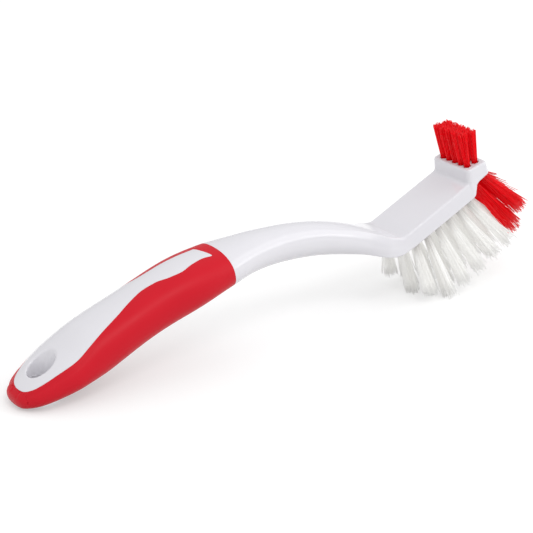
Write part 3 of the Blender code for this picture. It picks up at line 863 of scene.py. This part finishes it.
def soften_bounce(material):
    """Gives the light that bounces off this red onto white things near it a duller red."""
    tree = material.node_tree
    base = tree.nodes["Principled BSDF"].inputs["Base Color"]
    own_colour = base.links[0].from_socket
    rays = tree.nodes.new("ShaderNodeLightPath")
    bounced = tree.nodes.new("ShaderNodeMix")
    bounced.data_type = "RGBA"
    tree.links.new(rays.outputs["Is Diffuse Ray"], bounced.inputs["Factor"])
    tree.links.new(own_colour, bounced.inputs["A"])
    bounced.inputs["B"].default_value = (*BOUNCED_RED, 1.0)
    tree.links.new(bounced.outputs["Result"], base)


grip = moulded(
    "soft_grip",
    red_grip,
    grip_outside,
    grip_crease,
    GRIP_LOW,
    GRIP_HIGH,
    GRIP_CELL,
)
red_plastic = moulded_plastic(
    "red soft grip",
    GRIP_RED,
    GRIP_DEEP_RED,
    roughness=(0.38, 0.47),
    grain_scale=2600.0,
    grain_depth=0.00003,
    specular=0.22,
)
soften_bounce(red_plastic)
grip.data.materials.append(red_plastic)
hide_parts("grip")
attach(grip, "root")


# The tufts: bundles of folded nylon filaments, each held in its blind hole by a wire anchor that
# doesn't show. The filaments stand close at the root, spread towards their ragged tips and are
# cut off where they would pass through the table.
GOLDEN_TURN = math.pi * (3 - math.sqrt(5))
FILAMENT_SIDES = 4
CLUMPS = 21
OWN_DRIFT = 0.4
TURN_DRIFT = 0.12
DEPTH_IN_HOLE = 0.8
SPREAD_PAST_SOLID = 0.0004
LEAST_TIP_HEIGHT = 0.0001

Bundle = namedtuple("Bundle", "count radius bends root_share drift raggedness opening")


def filament_paths(tuft, bundle, luck):
    """Points (filament, bend, XYZ) down the middle of each filament, and two vectors across the tuft.

    Roots lie on a sunflower's spiral in the hole. Distance from the tuft's axis grows as the
    opening power of the distance out, and a drift that is partly its clump's and partly its own bends
    each filament more and more."""
    order = np.arange(bundle.count)
    turn = GOLDEN_TURN * order + TURN_DRIFT * luck.standard_normal(bundle.count)
    out_of_axis = np.sqrt((order + 0.5) / bundle.count)
    first = unit(np.cross(tuft.direction, (0.0, 1.0, 0.0)))
    second = np.cross(tuft.direction, first)
    outward = np.cos(turn)[:, None] * first + np.sin(turn)[:, None] * second
    drift = luck.standard_normal((CLUMPS, 3))[order % CLUMPS]
    drift = bundle.drift * (drift + OWN_DRIFT * luck.standard_normal((bundle.count, 3)))
    length = tuft.length * (1 - bundle.raggedness * np.abs(luck.standard_normal(bundle.count)))
    root_reach = bundle.root_share * TUFT_HOLE / 2
    tip_reach = tuft.flare + SPREAD_PAST_SOLID

    def at(distance):
        share = np.maximum(distance, 0.0) / tuft.length
        reach = root_reach + (tip_reach - root_reach) * share**bundle.opening
        aside = (out_of_axis[:, None] * reach)[..., None] * outward[:, None]
        bend = (share**2)[..., None] * drift[:, None]
        return tuft.root + distance[..., None] * tuft.direction + aside + bend

    tip = at(length[:, None])[:, 0, 2]
    drop = np.maximum(tuft.root[2] - tip, 1e-6)
    kept = (tuft.root[2] - LEAST_TIP_HEIGHT) / drop
    length = np.where(tip < LEAST_TIP_HEIGHT, length * kept, length)
    start = -DEPTH_IN_HOLE * tuft.depth
    share = np.linspace(0.0, 1.0, bundle.bends)
    return at(start + (length - start)[:, None] * share), first, second


def filament_bundle(tuft, bundle, seed):
    """A mesh object of square tubes along the filaments.

    Its UV map holds each filament's own number from 0 to 1 and the share of the way to its tip."""
    luck = np.random.default_rng(seed)
    paths, first, second = filament_paths(tuft, bundle, luck)
    turn = luck.uniform(0.0, 2 * math.pi, bundle.count)[:, None]
    turn = turn + 2 * math.pi * np.arange(FILAMENT_SIDES) / FILAMENT_SIDES
    corner = np.cos(turn)[..., None] * first + np.sin(turn)[..., None] * second
    points = paths[:, :, None] + bundle.radius * corner[:, None]
    number = np.arange(bundle.count * bundle.bends * FILAMENT_SIDES)
    number = number.reshape(bundle.count, bundle.bends, FILAMENT_SIDES)
    after = np.roll(number, -1, axis=2)
    sides = np.stack([number[:, :-1], after[:, :-1], after[:, 1:], number[:, 1:]], axis=-1)
    quads = np.concatenate([sides.reshape(-1, 4), number[:, -1], number[:, 0, ::-1]])
    made = mesh_piece(tuft.name + "_filaments", points.reshape(-1, 3), quads)
    own = luck.random(CLUMPS)[np.arange(bundle.count) % CLUMPS]
    own = (1 - OWN_DRIFT) * own + OWN_DRIFT * luck.random(bundle.count)
    own = np.broadcast_to(own[:, None, None], number.shape)
    way = np.broadcast_to(np.linspace(0.0, 1.0, bundle.bends)[None, :, None], number.shape)
    place = np.stack([own.ravel(), way.ravel()], axis=1)[quads.ravel()]
    made.data.uv_layers.new(name="filament").data.foreach_set("uv", place.astype(np.float32).ravel())
    return made


def filament_shade_group():
    """One colour mixed for each filament from two by its own number, and a third, a painted shade, towards
    its root where the filaments crowd.
    """
    group, given, made = node_group(
        "filament shade",
        (
            ("Filament", "Vector", None),
            ("Light Colour", "Color", None),
            ("Deep Colour", "Color", None),
            ("Painted Root Shade", "Color", None),
            ("Root Share", "Float", 0.4),
        ),
        (("Colour", "Color"),),
    )
    links = group.links
    parts = group.nodes.new("ShaderNodeSeparateXYZ")
    links.new(given.outputs["Filament"], parts.inputs["Vector"])
    own = group.nodes.new("ShaderNodeMix")
    own.data_type = "RGBA"
    links.new(parts.outputs["X"], own.inputs["Factor"])
    links.new(given.outputs["Light Colour"], own.inputs["A"])
    links.new(given.outputs["Deep Colour"], own.inputs["B"])
    # Painted shade: each filament's colour darkens towards its root, where the tuft's filaments crowd and
    # shade each other.
    way = group.nodes.new("ShaderNodeMapRange")
    way.interpolation_type = "SMOOTHSTEP"
    links.new(parts.outputs["Y"], way.inputs["Value"])
    links.new(given.outputs["Root Share"], way.inputs["From Max"])
    root_shaded = group.nodes.new("ShaderNodeMix")
    root_shaded.data_type = "RGBA"
    links.new(way.outputs["Result"], root_shaded.inputs["Factor"])
    links.new(given.outputs["Painted Root Shade"], root_shaded.inputs["A"])
    links.new(own.outputs["Result"], root_shaded.inputs["B"])
    links.new(root_shaded.outputs["Result"], made.inputs["Colour"])
    return group


filament_shade = filament_shade_group()


def nylon(name, light, deep, root, roughness, specular, glow):
    """A Principled nylon whose colour follows each filament, with painted shade darkening it towards the
    root.

    It glows a little, in place of the light that real nylon lets through."""
    made = bpy.data.materials.new(name)
    made.use_nodes = True
    tree = made.node_tree
    shader = tree.nodes["Principled BSDF"]
    place = tree.nodes.new("ShaderNodeUVMap")
    place.uv_map = "filament"
    shade = tree.nodes.new("ShaderNodeGroup")
    shade.node_tree = filament_shade
    shade.inputs["Light Colour"].default_value = (*light, 1.0)
    shade.inputs["Deep Colour"].default_value = (*deep, 1.0)
    shade.inputs["Painted Root Shade"].default_value = (*root, 1.0)
    tree.links.new(place.outputs["UV"], shade.inputs["Filament"])
    tree.links.new(shade.outputs["Colour"], shader.inputs["Base Color"])
    tree.links.new(shade.outputs["Colour"], shader.inputs["Emission Color"])
    shader.inputs["Emission Strength"].default_value = glow
    shader.inputs["Roughness"].default_value = roughness
    shader.inputs["Specular IOR Level"].default_value = specular
    return made


white_nylon = nylon(
    "white nylon",
    light=(1.0, 1.0, 0.99),
    deep=(0.80, 0.79, 0.77),
    # The root colour is painted shade, where the filaments crowd together at the root.
    root=(0.60, 0.58, 0.56),
    roughness=0.30,
    specular=0.5,
    glow=0.19,
)
red_nylon = nylon(
    "red nylon",
    light=(1.0, 0.003, 0.010),
    deep=(0.60, 0.001, 0.003),
    # The root colour is painted shade, where the filaments crowd together at the root.
    root=(0.60, 0.001, 0.003),
    roughness=0.25,
    specular=0.20,
    glow=0.26,
)
soften_bounce(red_nylon)
looks = {
    "white": (Bundle(120, 0.00013, 6, 0.72, 0.0007, 0.045, 1.0), white_nylon, "white_bristle"),
    "nose": (Bundle(130, 0.00015, 6, 0.95, 0.0006, 0.04, 0.70), red_nylon, "red_bristle"),
    "top": (Bundle(80, 0.00016, 5, 0.78, 0.0001, 0.02, 1.0), red_nylon, "red_bristle"),
}
for seed, tuft in enumerate(tufts):
    bundle, look, slot = looks[tuft.name.split("_")[0]]
    made = filament_bundle(tuft, bundle, seed)
    made.data.materials.append(look)
    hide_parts(tuft.name)
    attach(made, "root")


# The floor: a wide pale sheet that the camera sees as white but for the brush's own soft shadow.
FLOOR_SIDE = 8.0
FLOOR_COLOUR = (0.66, 0.66, 0.66)
FLOOR_GLOW = 0.38

corners = FLOOR_SIDE / 2 * np.array([(-1, -1, 0), (1, -1, 0), (1, 1, 0), (-1, 1, 0)], float)
floor_mesh = bpy.data.meshes.new("floor")
floor_mesh.from_pydata(corners.tolist(), [], [(0, 1, 2, 3)])
floor = bpy.data.objects.new("floor", floor_mesh)
bpy.context.scene.collection.objects.link(floor)
paper = bpy.data.materials.new("pale floor")
paper.use_nodes = True
nodes, links = paper.node_tree.nodes, paper.node_tree.links
shader = nodes["Principled BSDF"]
shader.inputs["Base Color"].default_value = (*FLOOR_COLOUR, 1.0)
shader.inputs["Roughness"].default_value = 1.0
shader.inputs["Specular IOR Level"].default_value = 0.0
rays = nodes.new("ShaderNodeLightPath")
seen = nodes.new("ShaderNodeMath")
seen.operation = "MAXIMUM"
links.new(rays.outputs["Is Camera Ray"], seen.inputs[0])
links.new(rays.outputs["Is Glossy Ray"], seen.inputs[1])
glow = nodes.new("ShaderNodeMath")
glow.operation = "MULTIPLY"
glow.inputs[1].default_value = FLOOR_GLOW
links.new(seen.outputs["Value"], glow.inputs[0])
shader.inputs["Emission Color"].default_value = (1.0, 1.0, 1.0, 1.0)
links.new(glow.outputs["Value"], shader.inputs["Emission Strength"])
floor.data.materials.append(paper)


# The light: a white surround, which plastic reflects as a darker room, and three round lamps in
# front: a wide one and a low small one on the right, and one high up.
SURROUND_LIGHT = 0.89
REFLECTED_LIGHT = 0.50
MIDDLE = np.array([0.0, 0.0, 0.03])
LAMPS = (
    ("front lamp", (0.95, -0.70, 0.79), 1.1, 3.0),
    ("low lamp", (1.05, -0.85, 0.38), 0.45, 0.7),
    ("high lamp", (-0.11, -0.77, 1.19), 0.5, 2.6),
)

world = bpy.data.worlds.new("surround")
world.use_nodes = True
bpy.context.scene.world = world
nodes, links = world.node_tree.nodes, world.node_tree.links
background = nodes["Background"]
background.inputs["Color"].default_value = (1.0, 1.0, 1.0, 1.0)
rays = nodes.new("ShaderNodeLightPath")
reflected = nodes.new("ShaderNodeMapRange")
reflected.inputs["To Min"].default_value = SURROUND_LIGHT
reflected.inputs["To Max"].default_value = REFLECTED_LIGHT
links.new(rays.outputs["Is Glossy Ray"], reflected.inputs["Value"])
strength = nodes.new("ShaderNodeMapRange")
links.new(rays.outputs["Is Camera Ray"], strength.inputs["Value"])
links.new(reflected.outputs["Result"], strength.inputs["To Min"])
strength.inputs["To Max"].default_value = 1.0
links.new(strength.outputs["Result"], background.inputs["Strength"])

for name, place, size, power in LAMPS:
    lamp = bpy.data.objects.new(name, bpy.data.lights.new(name, "AREA"))
    lamp.data.shape = "DISK"
    lamp.data.size = size
    lamp.data.energy = power
    lamp.location = place
    aim = MIDDLE - place
    down = math.acos(-aim[2] / np.linalg.norm(aim))
    lamp.rotation_euler = (down, 0.0, math.atan2(-aim[0], aim[1]))
    bpy.context.scene.collection.objects.link(lamp)
